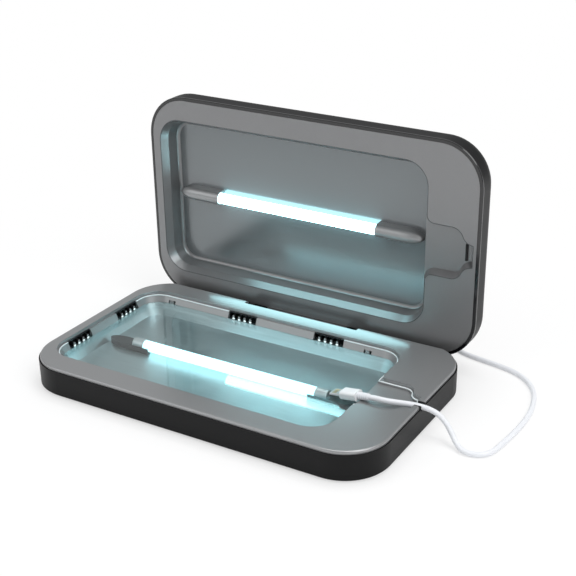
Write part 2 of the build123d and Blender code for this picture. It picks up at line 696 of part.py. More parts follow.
with BuildPart() as usb_a_port:
    with BuildSketch(Plane.XZ.offset(-SOCKET_Y)):
        with Locations((USB_A_X, USB_A_Z)):
            Rectangle(USB_A_W, USB_A_H)
            Rectangle(USB_A_W - 2 * SHEET_METAL, USB_A_H - 2 * SHEET_METAL, mode=Mode.SUBTRACT)
    extrude(amount=USB_A_LENGTH)
    with BuildSketch(Plane.XZ.offset(USB_A_LENGTH - SOCKET_Y)):
        with Locations((USB_A_X, USB_A_Z)):
            Rectangle(USB_A_W - 2 * SHEET_METAL, USB_A_H - 2 * SHEET_METAL)
    extrude(amount=-SHEET_METAL)
    with BuildSketch(Plane.XZ.offset(USB_A_LENGTH - SOCKET_Y)):
        with Locations((USB_A_X, USB_A_Z + CONTACT_RISE)):
            Rectangle(CONTACT_W, CONTACT_H)
    extrude(amount=-USB_A_LENGTH + CONTACT_SETBACK)
usb_a_port.part.label = "usb_a_port"

with BuildPart() as usb_c_port:
    with BuildSketch(Plane.XZ.offset(-SOCKET_Y)):
        with Locations((USB_C_X, BOARD_TOP_Z + USB_C_H / 2)):
            SlotOverall(USB_C_W, USB_C_H)
            SlotOverall(USB_C_W - 2 * SHEET_METAL, USB_C_H - 2 * SHEET_METAL, mode=Mode.SUBTRACT)
    extrude(amount=USB_C_LENGTH)
    with BuildSketch(Plane.XZ.offset(USB_C_LENGTH - SOCKET_Y)):
        with Locations((USB_C_X, BOARD_TOP_Z + USB_C_H / 2)):
            SlotOverall(USB_C_W, USB_C_H)
    extrude(amount=-SHEET_METAL)
    with BuildSketch(Plane.XZ.offset(USB_C_LENGTH - SOCKET_Y)):
        with Locations((USB_C_X, BOARD_TOP_Z + USB_C_H / 2)):
            Rectangle(BLADE_W, BLADE_H)
    extrude(amount=-USB_C_LENGTH + CONTACT_SETBACK)
usb_c_port.part.label = "usb_c_port"

with BuildPart() as power_board:
    with BuildSketch(Plane.XY.offset(BOARD_Z)):
        with Locations((POWER_BOARD_X[0], BOARD_FRONT_Y)):
            Rectangle(
                POWER_BOARD_X[1] - POWER_BOARD_X[0],
                BOARD_BACK_Y - BOARD_FRONT_Y,
                align=(Align.MIN, Align.MIN),
            )
    extrude(amount=BOARD_T)
power_board.part.label = "power_board"

inlet_z = BOARD_TOP_Z + INLET_H / 2
inlet_face_y = REAR_INNER_Y - LIP_T - 2 * FIT
with BuildPart() as power_inlet:
    with BuildSketch(Plane.XZ.offset(-inlet_face_y)):
        with Locations((INLET_X, inlet_z)):
            Rectangle(INLET_W, INLET_H)
    extrude(amount=INLET_LENGTH)
    with BuildSketch(Plane.XZ.offset(-inlet_face_y)):
        with Locations((INLET_X, inlet_z)):
            Circle(INLET_NOSE_R)
    extrude(amount=inlet_face_y - SOCKET_Y)
    with BuildSketch(Plane.XZ.offset(-SOCKET_Y)):
        with Locations((INLET_X, inlet_z)):
            Circle(INLET_BORE_R)
            Circle(INLET_PIN_R, mode=Mode.SUBTRACT)
    extrude(amount=INLET_LENGTH, mode=Mode.SUBTRACT)
power_inlet.part.label = "power_inlet"

with BuildPart() as inverter_transformer:
    with BuildSketch(Plane.XY.offset(BOARD_TOP_Z)):
        with Locations((TRANSFORMER_X, (BOARD_FRONT_Y + BOARD_BACK_Y) / 2)):
            Rectangle(TRANSFORMER_SIZE[0], TRANSFORMER_SIZE[1])
    extrude(amount=TRANSFORMER_SIZE[2])
    # Windings stand in from the bobbin's flanges
    with BuildSketch(Plane.XY.offset(BOARD_TOP_Z + BOBBIN_FLANGE)):
        with Locations((TRANSFORMER_X, (BOARD_FRONT_Y + BOARD_BACK_Y) / 2)):
            Rectangle(TRANSFORMER_SIZE[0], TRANSFORMER_SIZE[1])
            RectangleRounded(
                TRANSFORMER_SIZE[0] - 2 * BOBBIN_FLANGE,
                TRANSFORMER_SIZE[1] - 2 * BOBBIN_FLANGE,
                BOBBIN_FLANGE,
                mode=Mode.SUBTRACT,
            )
    extrude(amount=TRANSFORMER_SIZE[2] - 2 * BOBBIN_FLANGE, mode=Mode.SUBTRACT)
inverter_transformer.part.label = "inverter_transformer"

with BuildPart() as reed_switch:
    with BuildSketch(Plane.XY.offset(PART_Z)):
        with Locations((SENSOR_X, SENSOR_Y)):
            Rectangle(REED_SIZE[0], REED_SIZE[1])
    extrude(amount=-REED_SIZE[2])
reed_switch.part.label = "reed_switch"

# ------------------------------------------------------------------ feet, case screws and outlet seal
with BuildPart() as rubber_feet:
    with BuildSketch():
        with Locations(FOOT_PLACES):
            Circle(FOOT_R - SCREW_SLACK)
    extrude(amount=FOOT_DROP + FOOT_RECESS)
rubber_feet.part.label = "rubber_feet"

with BuildPart() as case_screws:
    with BuildSketch(Plane.XY.offset(FOOT_DROP + COUNTERBORE)):
        with Locations(POST_PLACES):
            Circle(SCREW_R)
    extrude(amount=SCREW_LENGTH)
    with BuildSketch(Plane.XY.offset(FOOT_DROP + COUNTERBORE)):
        with Locations(POST_PLACES):
            Circle(SCREW_HEAD_R)
    extrude(amount=-SCREW_HEAD_T)
case_screws.part.label = "case_screws"

with BuildPart() as outlet_seal:
    with BuildSketch(Plane.YZ.offset(LENGTH / 2)):
        with Locations((OUTLET_Y, OUTLET_Z)):
            Rectangle(OUTLET_W, DECK_Z - OUTLET_Z, align=(Align.CENTER, Align.MIN))
        with Locations((OUTLET_Y, OUTLET_Z + SEAL_T)):
            Rectangle(
                OUTLET_W - 2 * SEAL_T, DECK_Z - OUTLET_Z, align=(Align.CENTER, Align.MIN), mode=Mode.SUBTRACT
            )
    extrude(amount=-NECK_MARGIN)
outlet_seal.part.label = "outlet_seal"

# ------------------------------------------------------------------ hinge
with BuildPart() as hinge_bracket:
    for side in (-1, 1):
        with BuildSketch(Plane.YZ.offset(side * EAR_INNER)):
            with BuildLine():
                Polyline(
                    (BRACKET_FRONT_Y, FLOOR_Z),
                    (BRACKET_BACK_Y, FLOOR_Z),
                    (BRACKET_BACK_Y, AXIS_Z),
                    (AXIS_Y - BARREL_R, AXIS_Z),
                    (BRACKET_FRONT_Y, BRACKET_Z + BRACKET_T),
                    close=True,
                )
            make_face()
            with Locations((AXIS_Y, AXIS_Z)):
                Circle(BARREL_R)
                Circle(PIN_R + PIN_FIT, mode=Mode.SUBTRACT)
        extrude(amount=side * EAR_W)
    with BuildSketch(Plane.XY.offset(BRACKET_Z)):
        with Locations((0, BRACKET_FRONT_Y)):
            Rectangle(
                2 * EAR_OUTER, BRACKET_BACK_Y - BRACKET_FRONT_Y, align=(Align.CENTER, Align.MIN)
            )
    extrude(amount=BRACKET_T)
    with BuildSketch(Plane.XY.offset(BRACKET_Z)):
        with Locations(BRACKET_POSTS):
            Circle(SMALL_SCREW_R + SCREW_SLACK)
    extrude(amount=BRACKET_T, mode=Mode.SUBTRACT)
hinge_bracket.part.label = "hinge_bracket"

with BuildPart() as hinge_pin:
    with BuildSketch(Plane.YZ):
        with Locations((AXIS_Y, AXIS_Z)):
            Circle(PIN_R)
    extrude(amount=EAR_OUTER, both=True)
hinge_pin.part.label = "hinge_pin"

hinge_screws = small_screws(
    [Plane((x, y, BRACKET_Z + BRACKET_T), z_dir=(0, 0, -1)) for x, y in BRACKET_POSTS],
    BRACKET_T + BRACKET_SEAT,
)
hinge_screws.part.label = "hinge_screws"

arm_screw_planes = [
    Plane(
        LID.from_local_coords((k * ARM_SCREW_PITCH, ARM_OUTER_Y - ARM_T, ARM_SCREW_DEPTH)),
        z_dir=LID.y_dir,
    )
    for k in (-1, 0, 1)
]
with BuildPart() as lid_hinge_arm:
    with BuildSketch(Plane.YZ):
        with Locations((AXIS_Y, AXIS_Z)):
            Circle(BARREL_R)
        with Locations((AXIS_Y, AXIS_Z + AXIS_Y - ARM_OUTER_Y)):
            Rectangle(
                HINGE_DROP + LID_GAP + ARM_REACH, ARM_T, align=(Align.MIN, Align.MIN)
            )
        with Locations((AXIS_Y, AXIS_Z)):
            Circle(PIN_R + BARREL_FIT, mode=Mode.SUBTRACT)
    extrude(amount=BARREL_HALF, both=True)
    for plane in arm_screw_planes:
        with BuildSketch(plane):
            Circle(SMALL_SCREW_R + SCREW_SLACK)
        extrude(amount=ARM_T, mode=Mode.SUBTRACT)
lid_hinge_arm.part.label = "lid_hinge_arm"

lid_hinge_screws = small_screws(arm_screw_planes, ARM_T + ARM_SCREW_BITE)
lid_hinge_screws.part.label = "lid_hinge_screws"

# ------------------------------------------------------------------ lid shell
with BuildPart() as lid_hollow:
    with BuildSketch(LID.offset(TRIM_T)):
        casing_plan(WALL)
    extrude(amount=LID_T - TRIM_T - WALL)
    fillet(lid_hollow.faces().sort_by(Axis.Y)[-1].edges(), radius=LID_BACK_R - WALL)
    # Posts left standing behind the lid's panel
    with BuildSketch(LID.offset(PANEL_T)):
        with Locations(POST_PLACES):
            Circle(LID_POST_R)
    extrude(amount=LID_T, mode=Mode.SUBTRACT)

with BuildPart() as lid_shell:
    with BuildSketch(LID.offset(TRIM_T)):
        casing_plan()
    extrude(amount=LID_T - TRIM_T)
    fillet(lid_shell.faces().sort_by(Axis.Y)[-1].edges(), radius=LID_BACK_R)
    add(lid_hollow.part, mode=Mode.SUBTRACT)
    for plane in arm_screw_planes:
        with BuildSketch(plane.offset(ARM_T)):
            Circle(SMALL_SCREW_R + SCREW_SLACK)
        extrude(amount=ARM_SCREW_BITE, mode=Mode.SUBTRACT)
    with BuildSketch(LID.offset(LID_T)):
        with Locations((0, LIGHT_Y)):
            Circle(LIGHT_R + SCREW_SLACK)
    extrude(amount=-WALL, mode=Mode.SUBTRACT)
lid_shell.part.label = "lid_shell"

with BuildPart() as lid_trim:
    with BuildSketch(LID):
        casing_plan()
        casing_plan(TRIM_W, mode=Mode.SUBTRACT)
    extrude(amount=TRIM_T)
    chamfer(lid_trim.faces().sort_by(Axis.Y)[0].outer_wire().edges(), length=TRIM_EDGE)
lid_trim.part.label = "lid_trim"

# ------------------------------------------------------------------ lid panel with its recess
with BuildPart() as lid_panel:
    with BuildSketch(LID):
        casing_plan(TRIM_W + PANEL_GAP)
    extrude(amount=PANEL_T)
    with BuildSketch(lid_level(0)):
        tray_plan(-PANEL_WALL)
    extrude(amount=RECESS_DEPTH + PANEL_FLOOR, taper=PAN_LEAN)
    extrude(tongue(lid_level(0), -TONGUE_WALL), amount=RIM_DEPTH + TONGUE_WALL)
    extrude(mouth(lid_level(0)), amount=RIM_DEPTH, taper=RIM_LEAN, mode=Mode.SUBTRACT)
    with BuildSketch(lid_level(RIM_DEPTH)):
        tray_plan(RIM_INSET)
    extrude(amount=RECESS_DEPTH - RIM_DEPTH, taper=RECESS_LEAN, mode=Mode.SUBTRACT)
    recess_floor = lid_panel.faces().filter_by(Axis.Y).filter_by_position(
        Axis.Y, LID.origin.Y + SHEET_DEPTH, LID.origin.Y + RECESS_DEPTH + SHEET_T
    )
    fillet(recess_floor.sort_by(Axis.Y)[0].edges(), radius=RECESS_COVE_R)
    # Slot for the cable seal
    with BuildSketch(lid_level(RIM_DEPTH)):
        with Locations((NECK_X - SEAL_SETBACK, OUTLET_Y - TRAY_Y)):
            Rectangle(SEAL_BLADE_T, SEAL_BLADE_W)
    extrude(amount=SEAL_BITE, mode=Mode.SUBTRACT)
    # Notch for the hinge
    with BuildSketch(LID):
        with Locations((0, ARM_OUTER_Y - ARM_T - NOTCH_GAP)):
            Rectangle(2 * NOTCH_HALF, DEPTH, align=(Align.CENTER, Align.MIN))
    extrude(amount=PANEL_T, mode=Mode.SUBTRACT)
lid_panel.part.label = "lid_panel"

with BuildPart() as lid_reflector:
    with BuildSketch(lid_level(SHEET_DEPTH)):
        tray_plan(RECESS_INSET + RECESS_COVE_R)
    extrude(amount=SHEET_T)
lid_reflector.part.label = "lid_reflector"

with BuildPart() as lid_cable_seal:
    with BuildSketch(lid_level(RIM_DEPTH - SEAL_STAND)):
        with Locations((NECK_X - SEAL_SETBACK, OUTLET_Y - TRAY_Y)):
            Rectangle(SEAL_BLADE_T, SEAL_BLADE_W)
    extrude(amount=SEAL_STAND + SEAL_BITE)
lid_cable_seal.part.label = "lid_cable_seal"

# ------------------------------------------------------------------ lid lamp, magnet and light
lid_lamp_height = SHEET_DEPTH - LID_LAMP_DEPTH
lid_lamp = lamp_glass(LID_SEAT, lid_lamp_height)
lid_lamp.part.label = "lid_lamp"

lid_lamp_caps = lamp_caps(LID_SEAT, lid_lamp_height)
lid_lamp_caps.part.label = "lid_lamp_caps"

lid_lamp_holders = lamp_holders(LID_SEAT, lid_lamp_height, domed=True)
lid_lamp_holders.part.label = "lid_lamp_holders"

with BuildPart() as lid_magnet:
    with BuildSketch(LID.offset(PANEL_T)):
        with Locations((SENSOR_X, SENSOR_Y)):
            Circle(MAGNET_R)
    extrude(amount=MAGNET_T)
lid_magnet.part.label = "lid_magnet"

with BuildPart() as status_light:
    with BuildSketch(LID.offset(LID_T - WALL)):
        with Locations((0, LIGHT_Y)):
            Circle(LIGHT_R)
    extrude(amount=WALL)
    with BuildSketch(LID.offset(LID_T - WALL)):
        with Locations((0, LIGHT_Y)):
            Circle(LIGHT_FLANGE_R)
    extrude(amount=-LIGHT_FLANGE_T)
status_light.part.label = "status_light"

# ------------------------------------------------------------------ plug in the tray
PLUG = Plane(PLUG_START, x_dir=Vector(PLUG_HEADING).cross(Vector(0, 0, 1)), z_dir=PLUG_HEADING)
with BuildPart() as phone_plug:
    with BuildSketch(PLUG):
        RectangleRounded(PLUG_W, PLUG_H, PLUG_EDGE_R)
    extrude(amount=PLUG_LENGTH)
    fillet(phone_plug.faces().sort_by(Axis(PLUG.origin, PLUG.z_dir))[0].edges(), radius=TIP_EDGE_R)
phone_plug.part.label = "phone_plug"

with BuildPart() as phone_plug_tip:
    with BuildSketch(PLUG):
        RectangleRounded(TIP_W, TIP_H, TIP_EDGE_R)
    extrude(amount=-TIP_LENGTH)
phone_plug_tip.part.label = "phone_plug_tip"

with BuildPart() as phone_plug_boot:
    with BuildSketch(PLUG.offset(PLUG_LENGTH)):
        Circle(BOOT_R)
    with BuildSketch(PLUG.offset(PLUG_LENGTH + BOOT_LENGTH)):
        Circle(BOOT_END_R)
    loft()
phone_plug_boot.part.label = "phone_plug_boot"

# ------------------------------------------------------------------ plug in the rear socket
USB = Plane((USB_A_X, REAR_Y, USB_A_Z), x_dir=(-1, 0, 0), z_dir=(0, 1, 0))
with BuildPart() as usb_plug:
    with BuildSketch(USB):
        RectangleRounded(USB_BODY_W, USB_BODY_H, USB_BODY_R)
    extrude(amount=USB_BODY_LENGTH)
    fillet(usb_plug.faces().sort_by(Axis.Y)[-1].edges(), radius=USB_BODY_R / 2)
    # Core inside the metal shell, below the socket's contacts
    with BuildSketch(USB):
        with Locations((0, -PLUG_SHELL_H / 2 + SHEET_METAL)):
            Rectangle(
                PLUG_SHELL_W - 2 * SHEET_METAL, CORE_H, align=(Align.CENTER, Align.MIN)
            )
    extrude(amount=-PLUG_SHELL_LENGTH)
usb_plug.part.label = "usb_plug"

with BuildPart() as usb_plug_shell:
    with BuildSketch(USB):
        Rectangle(PLUG_SHELL_W, PLUG_SHELL_H)
        Rectangle(PLUG_SHELL_W - 2 * SHEET_METAL, PLUG_SHELL_H - 2 * SHEET_METAL, mode=Mode.SUBTRACT)
    extrude(amount=-PLUG_SHELL_LENGTH)
usb_plug_shell.part.label = "usb_plug_shell"

with BuildPart() as usb_plug_boot:
    with BuildSketch(USB.offset(USB_BODY_LENGTH)):
        Circle(BOOT_R)
    with BuildSketch(USB.offset(USB_BODY_LENGTH + BOOT_LENGTH)):
        Circle(BOOT_END_R)
    loft()
usb_plug_boot.part.label = "usb_plug_boot"

# ------------------------------------------------------------------ cord
tray_end = [
    PLUG.from_local_coords(Vector(0, 0, PLUG_LENGTH + BOOT_LENGTH + lead)) for lead in (0, CORD_LEAD)
]
socket_end = [
    USB.from_local_coords(Vector(0, 0, USB_BODY_LENGTH + BOOT_LENGTH + lead)) for lead in (CORD_LEAD, 0)
]
route = tray_end + [Vector(*point) for point in CORD_ROUTE] + socket_end
bend_radii = []
for before, corner, after in zip(route, route[1:], route[2:]):
    run_in = corner - before
    run_out = after - corner
    half_turn = math.radians(run_in.get_angle(run_out) / 2)
    bend_radii.append(FILLET_SHARE * min(run_in.length, run_out.length) / math.tan(half_turn))
print("cord bend radii, mm:", [round(radius, 1) for radius in bend_radii])

with BuildPart() as charging_cord:
    with BuildLine():
        cord_path = FilletPolyline(*route, radius=bend_radii)
    with BuildSketch(Plane(cord_path @ 0, z_dir=cord_path % 0)):
        Circle(CORD_R)
    sweep()
charging_cord.part.label = "charging_cord"
print("cord length, mm:", round(cord_path.length, 1))

# ------------------------------------------------------------------ files
os.makedirs("parts", exist_ok=True)
pieces = (
    base_shell, base_deck, base_reflector, clear_plate, plate_clips, back_vents, side_vents,
    base_lamp, base_lamp_caps, base_lamp_holders, main_board, usb_a_port, usb_c_port,
    power_board, power_inlet, inverter_transformer, reed_switch, rubber_feet, case_screws,
    outlet_seal, hinge_bracket, hinge_pin, hinge_screws, lid_hinge_arm, lid_hinge_screws,
    lid_shell, lid_trim, lid_panel, lid_reflector, lid_cable_seal, lid_lamp, lid_lamp_caps,
    lid_lamp_holders, lid_magnet, status_light, phone_plug, phone_plug_tip, phone_plug_boot,
    usb_plug, usb_plug_shell, usb_plug_boot, charging_cord,
)
for piece in pieces:
    export_step(piece.part, f"parts/{piece.part.label}.step")
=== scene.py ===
import json
import math
import bmesh
import bpy
from mathutils import Matrix, Vector
from mathutils.kdtree import KDTree


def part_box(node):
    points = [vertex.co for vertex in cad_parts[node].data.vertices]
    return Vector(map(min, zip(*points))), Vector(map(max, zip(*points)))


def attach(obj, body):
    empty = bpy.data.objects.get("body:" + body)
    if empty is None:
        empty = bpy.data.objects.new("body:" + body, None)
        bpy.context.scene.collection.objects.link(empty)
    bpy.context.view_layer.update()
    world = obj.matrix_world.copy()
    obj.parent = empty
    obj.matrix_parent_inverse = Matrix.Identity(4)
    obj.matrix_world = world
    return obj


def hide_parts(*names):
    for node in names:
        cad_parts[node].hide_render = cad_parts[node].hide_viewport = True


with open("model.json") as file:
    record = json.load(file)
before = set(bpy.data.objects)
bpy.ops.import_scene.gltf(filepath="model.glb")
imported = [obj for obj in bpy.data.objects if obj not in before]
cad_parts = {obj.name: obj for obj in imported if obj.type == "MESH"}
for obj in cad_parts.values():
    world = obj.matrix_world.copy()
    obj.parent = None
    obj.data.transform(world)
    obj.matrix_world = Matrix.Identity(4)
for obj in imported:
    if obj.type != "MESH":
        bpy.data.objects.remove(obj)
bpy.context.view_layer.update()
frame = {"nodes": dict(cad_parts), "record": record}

# The looks of a sanitizing box for phones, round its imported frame: materials for the CAD nodes,
# the trim that is too fine for the solids, the charging cord, and a bright studio with the camera
# at the photograph's angle. Metres, in the frame's own axes: +X right, +Y back, +Z up.

MM = 0.001
NODES = frame["nodes"]
X_AXIS = Vector((1, 0, 0))
Y_AXIS = Vector((0, 1, 0))
Z_AXIS = Vector((0, 0, 1))


# ------------------------------------------------------------------ colours and wiring
def srgb(r, g, b):
    """Linear colour of an 8-bit screen colour."""
    out = []
    for v in (r, g, b):
        v /= 255.0
        out.append(v / 12.92 if v <= 0.04045 else ((v + 0.055) / 1.055) ** 2.4)
    return (*out, 1.0)


def scaled(colour, factor):
    """The colour made lighter or darker."""
    return tuple(min(1.0, c * factor) for c in colour[:3]) + (1.0,)


class Mat:
    """A material being wired: add a node with its inputs, values or sockets, by name or index."""

    def __init__(self, name):
        self.mat = bpy.data.materials.new(name)
        self.mat.use_nodes = True
        self.tree = self.mat.node_tree
        self.tree.nodes.clear()
        self.out = self.tree.nodes.new("ShaderNodeOutputMaterial")
        self.coords = self.add("ShaderNodeTexCoord").outputs["Object"]

    def add(self, kind, inputs=None, **settings):
        """Add a node, setting its options before its inputs."""
        node = self.tree.nodes.new(kind)
        for key, value in settings.items():
            setattr(node, key, value)
        for key, value in (inputs or {}).items():
            if hasattr(value, "links"):
                self.tree.links.new(value, node.inputs[key])
            else:
                node.inputs[key].default_value = value
        return node

    def math(self, operation, first, second=0.0):
        return self.add("ShaderNodeMath", {0: first, 1: second}, operation=operation).outputs[0]

    def noise(self, scale, detail=3.0, roughness=0.55, stretch=None):
        """Noise with a scale in waves per metre, stretched along the axes where asked."""
        vector = self.coords
        if stretch:
            vector = self.add("ShaderNodeMapping", {"Vector": vector, "Scale": stretch}).outputs[0]
        settings = {"Vector": vector, "Scale": scale, "Detail": detail, "Roughness": roughness}
        return self.add("ShaderNodeTexNoise", settings).outputs["Fac"]

    def spread(self, value, low, high, start=0.3, end=0.7):
        """Carry a value that runs from start to end over to low to high, held at both ends."""
        ends = {"Value": value, "From Min": start, "From Max": end, "To Min": low, "To Max": high}
        return self.add("ShaderNodeMapRange", ends).outputs[0]

    def tint(self, factor, first, second):
        """Blend two colours; the mix node keeps its colours at inputs 6 and 7 and output 2."""
        inputs = {0: factor, 6: first, 7: second}
        return self.add("ShaderNodeMix", inputs, data_type="RGBA").outputs[2]

    def bump(self, height, strength, distance):
        inputs = {"Height": height, "Strength": strength, "Distance": distance}
        return self.add("ShaderNodeBump", inputs).outputs[0]

    def mix(self, factor, first, second):
        return self.add("ShaderNodeMixShader", {0: factor, 1: first, 2: second}).outputs[0]

    def principled(self, inputs):
        return self.add("ShaderNodeBsdfPrincipled", inputs).outputs[0]

    def surface(self, shader):
        self.tree.links.new(shader, self.out.inputs["Surface"])
        return self.mat


# ------------------------------------------------------------------ kinds of material
FLOW_SCALE = 9.0           # faint flow marks in moulded plastic
PATCH_SCALE = 35.0         # handling marks on metal
METAL_GRAIN_DEPTH = 0.008 * MM
SMEAR_SCALE = 18.0         # wiping marks on the clear plates
SMEAR_ROUGHNESS = 0.012
LAMP_UNEVENNESS = 60.0
EVEN_SHARE = 0.84          # share of a lamp's half length that burns evenly
END_LEVEL = 0.6            # what is left of its light at the electrodes


def moulded(name, colour, roughness, grain=1500.0, depth=0.02, mottle=0.03, polish=0.3, more=None):
    """Moulded plastic or rubber: spark-eroded grain over faint flow marks."""
    m = Mat(name)
    fine = m.noise(grain, 2.0, 0.5)
    flow = m.noise(FLOW_SCALE, 2.0, 0.5)
    base = m.tint(m.spread(flow, 0.0, 1.0), scaled(colour, 1 - mottle), scaled(colour, 1 + mottle))
    base = m.tint(m.spread(fine, 0.0, 0.5, 0.4, 0.7), base, scaled(colour, 1.0 + 3 * mottle))
    inputs = {
        "Base Color": base,
        "Roughness": m.spread(fine, roughness * 0.92, roughness * 1.08),
        "Normal": m.bump(fine, polish, depth * MM),
    }
    inputs.update(more or {})
    return m.surface(m.principled(inputs))


def metal(name, colour, roughness, stretch=(1.0, 1.0, 1.0), scale=900.0):
    """Rolled or turned metal with streaks along one direction."""
    m = Mat(name)
    streak = m.noise(scale, 3.0, 0.6, stretch)
    patch = m.noise(PATCH_SCALE, 3.0, 0.6)
    return m.surface(m.principled({
        "Base Color": m.tint(m.spread(streak, 0.0, 1.0), scaled(colour, 0.88), colour),
        "Metallic": 1.0,
        "Roughness": m.spread(patch, roughness * 0.85, roughness * 1.2),
        "Normal": m.bump(streak, 0.25, METAL_GRAIN_DEPTH),
    }))


def clear(name, colour, ior):
    """Clear plate, faintly smeared, that the lamp's light passes through."""
    m = Mat(name)
    smear = m.noise(SMEAR_SCALE, 4.0, 0.6)
    glass = m.principled({
        "Base Color": colour,
        "Transmission Weight": 1.0,
        "IOR": ior,
        "Roughness": m.spread(smear, 0.0, SMEAR_ROUGHNESS, 0.45, 0.8),
    })
    path = m.add("ShaderNodeLightPath").outputs
    passing = m.math("MAXIMUM", path["Is Shadow Ray"], path["Is Diffuse Ray"])
    through = m.add("ShaderNodeBsdfTransparent", {"Color": colour}).outputs[0]
    return m.surface(m.mix(passing, glass, through))


def lit_tube(name, strength, node):
    """Burning lamp, even along its middle and dimmer beside the electrodes."""
    m = Mat(name)
    low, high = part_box(node)
    centre = (low[0] + high[0]) / 2
    half = (high[0] - low[0]) / 2
    along = m.add("ShaderNodeSeparateXYZ", {0: m.coords}).outputs[0]
    reach = m.math("ABSOLUTE", m.math("SUBTRACT", along, centre))
    fade = m.spread(reach, 1.0, END_LEVEL, half * EVEN_SHARE, half)
    level = m.math("MULTIPLY", fade, m.spread(m.noise(LAMP_UNEVENNESS, 2.0), 0.95, 1.0))
    return m.surface(m.principled({
        "Base Color": (0.85, 0.95, 1.0, 1.0),
        "Roughness": 0.08,
        "Emission Color": LAMP_COLOUR,
        "Emission Strength": m.math("MULTIPLY", level, strength),
    }))


# ------------------------------------------------------------------ materials by slot
GREY = srgb(157, 158, 159)
# The lid panel is the deck's grey plastic set darker: painted shade for the upright panel.
PANEL_SHADED_GREY = srgb(137, 137, 138)
DARK = srgb(13, 13, 14)
LAMP_COLOUR = (0.50, 0.94, 1.0, 1.0)
LID_LAMP_LEVEL = 6.0
BASE_LAMP_LEVEL = 2.0
SATIN = {"Metallic": 0.62, "Specular IOR Level": 0.5}
materials = {
    "dark_shell": moulded("dark_shell", DARK, 0.42, mottle=0.05, more={"Specular IOR Level": 0.18}),
    "grey_deck": moulded("grey_deck", GREY, 0.31, depth=0.004, mottle=0.015, polish=0.10, more=SATIN),
    "black_trim": moulded("black_trim", srgb(10, 10, 12), 0.14, depth=0.003,
                          more={"Coat Weight": 0.6, "Coat Roughness": 0.06}),
    "reflector": metal("reflector", (0.50, 0.56, 0.58, 1.0), 0.33, (1.0, 30.0, 1.0), 60.0),
    "clear_glass": clear("clear_glass", (0.90, 0.98, 0.98, 1.0), 1.46),
    "lamp_glass": lit_tube("lamp_glass", LID_LAMP_LEVEL, "lid_lamp"),
    "steel": metal("steel", (0.62, 0.62, 0.63, 1.0), 0.33, (40.0, 1.0, 1.0), 80.0),
    "black_plastic": moulded("black_plastic", srgb(15, 16, 18), 0.42, mottle=0.1),
    "rubber_black": moulded("rubber_black", srgb(22, 22, 23), 0.75, grain=900.0, depth=0.04),
    "circuit_green": moulded("circuit_green", srgb(22, 92, 56), 0.35, more={"Coat Weight": 0.4}),
    "white_plastic": moulded("white_plastic", srgb(236, 238, 240), 0.34, mottle=0.01),
    "white_cord": moulded("white_cord", srgb(232, 234, 238), 0.45, grain=1100.0, mottle=0.01),
    "magnet_metal": metal("magnet_metal", (0.72, 0.72, 0.72, 1.0), 0.2),
    "light_lens": moulded("light_lens", srgb(190, 200, 206), 0.2, more={"Coat Weight": 0.5}),
}
# A darker copy of the deck's satin grey for the upright lid panel: painted shade.
panel_grey_painted_shade = moulded("panel_grey_painted_shade", PANEL_SHADED_GREY, 0.31, depth=0.004, mottle=0.015, polish=0.10, more=SATIN)
recess_floor = moulded("recess_floor", srgb(126, 130, 132), 0.17, depth=0.002, mottle=0.01, polish=0.05,
                       more={"Metallic": 0.55})
base_lamp_glass = lit_tube("base_lamp_glass", BASE_LAMP_LEVEL, "base_lamp")
gold = metal("gold_plate", (0.83, 0.62, 0.28, 1.0), 0.25)
# Darker grey for the tube round the lid recess's mouth: painted shade along the step's edge.
crease_shade_paint = moulded("crease_shade_paint", srgb(92, 95, 97), 0.35, more=SATIN)
# Near-white for the bead on the tray's ledge: a painted highlight along the ledge's inner edge.
ledge_highlight_paint = moulded("ledge_highlight_paint", srgb(232, 240, 242), 0.35, more={"Metallic": 0.1})
# Painted highlight: the ribs' feet glow faintly, standing in for the lamp's light caught on their
# rounded lower ends.
rib_glow_paint = moulded("rib_painted_glow", srgb(235, 250, 250), 0.3, mottle=0.01, more={
    "Emission Color": (0.9, 1.0, 1.0, 1.0), "Emission Strength": 0.55})


def dress(obj, material):
    """Give an object this material alone."""
    obj.data.materials.clear()
    obj.data.materials.append(material)


look = {row["node"]: materials[row["material_slot"]] for row in frame["record"]["subparts"]}
look["lid_reflector"] = recess_floor
look["lid_panel"] = panel_grey_painted_shade
look["base_lamp"] = base_lamp_glass
for node, obj in NODES.items():
    dress(obj, look[node])


# ------------------------------------------------------------------ mesh pieces
def piece(name, bm, material, body, smooth=True):
    """Make an object of the mesh in bm, riding on a body."""
    mesh = bpy.data.meshes.new(name)
    bm.to_mesh(mesh)
    bm.free()
    for face in mesh.polygons:
        face.use_smooth = smooth
    obj = bpy.data.objects.new(name, mesh)
    bpy.context.collection.objects.link(obj)
    dress(obj, material)
    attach(obj, body)
    return obj


def add_pad(bm, centre, axes, size, edge, segments=3):
    """Rounded block of a size along three axes, about its centre."""
    turn = Matrix([list(axis) for axis in axes]).transposed().to_4x4()
    place = Matrix.Translation(centre) @ turn @ Matrix.Diagonal((*size, 1.0))
    corners = bmesh.ops.create_cube(bm, size=1.0, matrix=place)["verts"]
    edges = {e for v in corners for e in v.link_edges}
    bmesh.ops.bevel(bm, geom=list(edges), offset=edge, segments=segments, affect="EDGES", profile=0.5)


def add_ring(bm, centre, axis, radius, thick, around=40, section=10):
    """Closed ring round an axis."""
    axis = Vector(axis).normalized()
    side = axis.orthogonal().normalized()
    up = axis.cross(side)
    loops = []
    for i in range(around):
        a = 2 * math.pi * i / around
        out = side * math.cos(a) + up * math.sin(a)
        loop = []
        for j in range(section):
            b = 2 * math.pi * j / section
            point = Vector(centre) + out * (radius + thick * math.cos(b)) + axis * thick * math.sin(b)
            loop.append(bm.verts.new(point))
        loops.append(loop)
    for i in range(around):
        for j in range(section):
            k = (j + 1) % section
            after = loops[(i + 1) % around]
            bm.faces.new((loops[i][j], after[j], after[k], loops[i][k]))


STEEP = 0.8                # a path running this much along Y takes its side from Z


